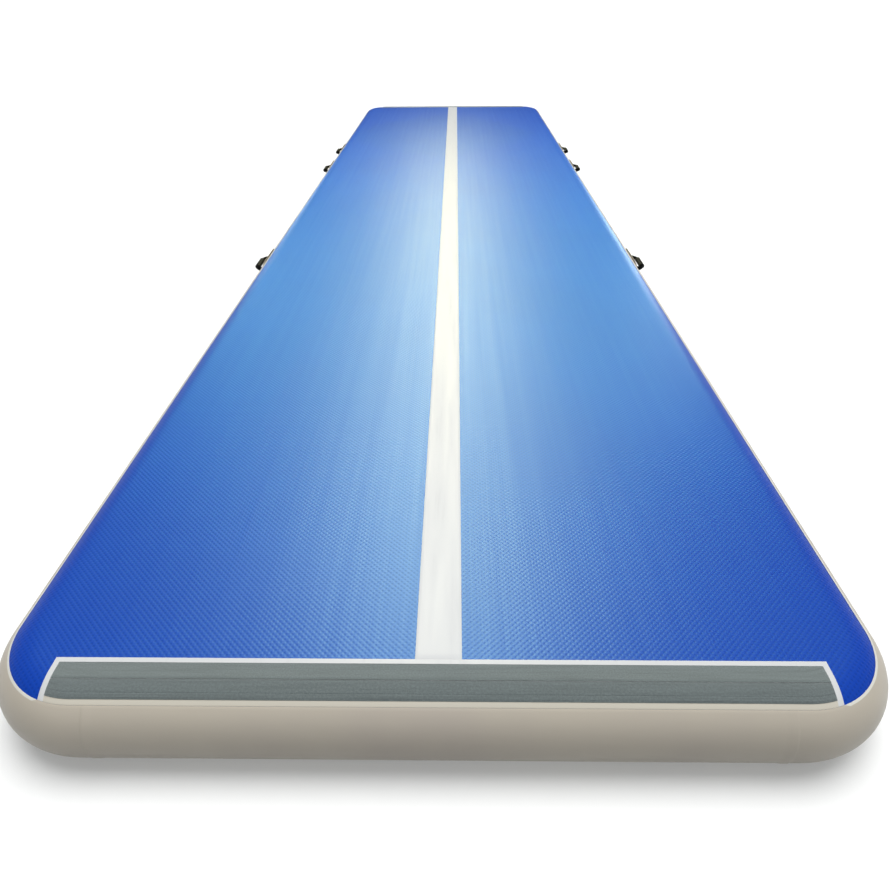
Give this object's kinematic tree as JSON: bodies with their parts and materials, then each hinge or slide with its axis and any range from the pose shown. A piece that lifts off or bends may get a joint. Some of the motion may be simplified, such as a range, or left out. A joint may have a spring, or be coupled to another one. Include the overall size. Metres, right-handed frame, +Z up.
{
  "type": "air track mat",
  "caption": "Long inflated tumbling mat of drop-stitch fabric with taped side walls, hook-and-loop joining bands at the ends, side carry handles and an inflation valve.",
  "frame": {"origin": "on the floor under the middle of the mat, where the centre lines of its length and width cross", "axes": "+X across the mat, +Y along it toward the end with the valve, +Z up"},
  "size_m": [2.1404, 8.0367, 0.2033],
  "materials": {
    "blue_pvc": "embossed coated fabric, satin",
    "grey_pvc": "smooth coated fabric, satin",
    "underside_pvc": "coated fabric with a fine non-slip emboss",
    "white_pvc": "smooth coated fabric, satin",
    "woven_core": "woven double-wall fabric",
    "hook_tape": "hook tape, matte",
    "loop_tape": "loop tape, matte",
    "black_webbing": "woven webbing",
    "black_rubber": "moulded, matte",
    "valve_plastic": "moulded, satin",
    "spring_steel": "drawn wire"
  },
  "bodies": {
    "mat": {"drop_stitch_core": "woven_core", "inner_wall_tape": "grey_pvc", "top_sheet": "blue_pvc", "bottom_sheet": "underside_pvc", "centre_stripe": "white_pvc", "outer_wall_front": "grey_pvc", "outer_wall_rear": "grey_pvc", "outer_wall_left": "grey_pvc", "outer_wall_right": "grey_pvc", "front_band_backing": "white_pvc", "front_band_loop_tape": "loop_tape", "front_band_hook_tape": "hook_tape", "rear_band_backing": "white_pvc", "rear_band_loop_tape": "loop_tape", "rear_band_hook_tape": "hook_tape", "handle_left_front_patch": "grey_pvc", "handle_left_middle_patch": "grey_pvc", "handle_left_rear_patch": "grey_pvc", "handle_right_front_patch": "grey_pvc", "handle_right_middle_patch": "grey_pvc", "handle_right_rear_patch": "grey_pvc", "valve_patch": "grey_pvc", "valve_gasket": "black_rubber", "valve_body": "valve_plastic", "valve_backing_washer": "black_rubber", "valve_back_nut": "valve_plastic", "valve_spring": "spring_steel", "valve_cap_tether": "black_rubber"},
    "handle_left_front": {"handle_left_front_strap": "black_webbing", "handle_left_front_grip": "black_rubber"},
    "handle_left_middle": {"handle_left_middle_strap": "black_webbing", "handle_left_middle_grip": "black_rubber"},
    "handle_left_rear": {"handle_left_rear_strap": "black_webbing", "handle_left_rear_grip": "black_rubber"},
    "handle_right_front": {"handle_right_front_strap": "black_webbing", "handle_right_front_grip": "black_rubber"},
    "handle_right_middle": {"handle_right_middle_strap": "black_webbing", "handle_right_middle_grip": "black_rubber"},
    "handle_right_rear": {"handle_right_rear_strap": "black_webbing", "handle_right_rear_grip": "black_rubber"},
    "cap_carrier": {"valve_cap_seal": "black_rubber"},
    "cap": {"valve_cap": "valve_plastic"},
    "valve_poppet": {"valve_diaphragm": "black_rubber", "valve_pin_clip": "valve_plastic"},
    "valve_pin": {"valve_push_pin": "valve_plastic"}
  },
  "joints": [
    {"name": "handle_left_front_swing", "type": "hinge", "parent": "mat", "child": "handle_left_front", "pos_m": [-1.0087, -1.1, 0.1], "axis": [0, 1, 0], "range_deg": [-80, 80]},
    {"name": "handle_left_middle_swing", "type": "hinge", "parent": "mat", "child": "handle_left_middle", "pos_m": [-1.0087, 1.22, 0.1], "axis": [0, 1, 0], "range_deg": [-80, 80]},
    {"name": "handle_left_rear_swing", "type": "hinge", "parent": "mat", "child": "handle_left_rear", "pos_m": [-1.0087, 1.94, 0.1], "axis": [0, 1, 0], "range_deg": [-80, 80]},
    {"name": "handle_right_front_swing", "type": "hinge", "parent": "mat", "child": "handle_right_front", "pos_m": [1.0087, -1.1, 0.1], "axis": [0, -1, 0], "range_deg": [-80, 80]},
    {"name": "handle_right_middle_swing", "type": "hinge", "parent": "mat", "child": "handle_right_middle", "pos_m": [1.0087, 1.22, 0.1], "axis": [0, -1, 0], "range_deg": [-80, 80]},
    {"name": "handle_right_rear_swing", "type": "hinge", "parent": "mat", "child": "handle_right_rear", "pos_m": [1.0087, 1.94, 0.1], "axis": [0, -1, 0], "range_deg": [-80, 80]},
    {"name": "cap_pull", "type": "slide", "parent": "mat", "child": "cap_carrier", "axis": [0, 1, 0], "range_m": [0, 0.02], "deforming": ["valve_cap_tether"]},
    {"name": "cap_turn", "type": "hinge", "parent": "cap_carrier", "child": "cap", "pos_m": [0.5, 4.0012, 0.1], "axis": [0, 1, 0], "range_deg": [0, 90]},
    {"name": "pin_press", "type": "slide", "parent": "mat", "child": "valve_poppet", "axis": [0, -1, 0], "range_m": [0, 0.005], "stiffness_N_per_m": 900, "springref_m": -0.003, "deforming": ["valve_spring"]},
    {"name": "pin_turn", "type": "hinge", "parent": "valve_poppet", "child": "valve_pin", "pos_m": [0.5, 4.0012, 0.1], "axis": [0, 1, 0], "range_deg": [0, 90]}
  ]
}
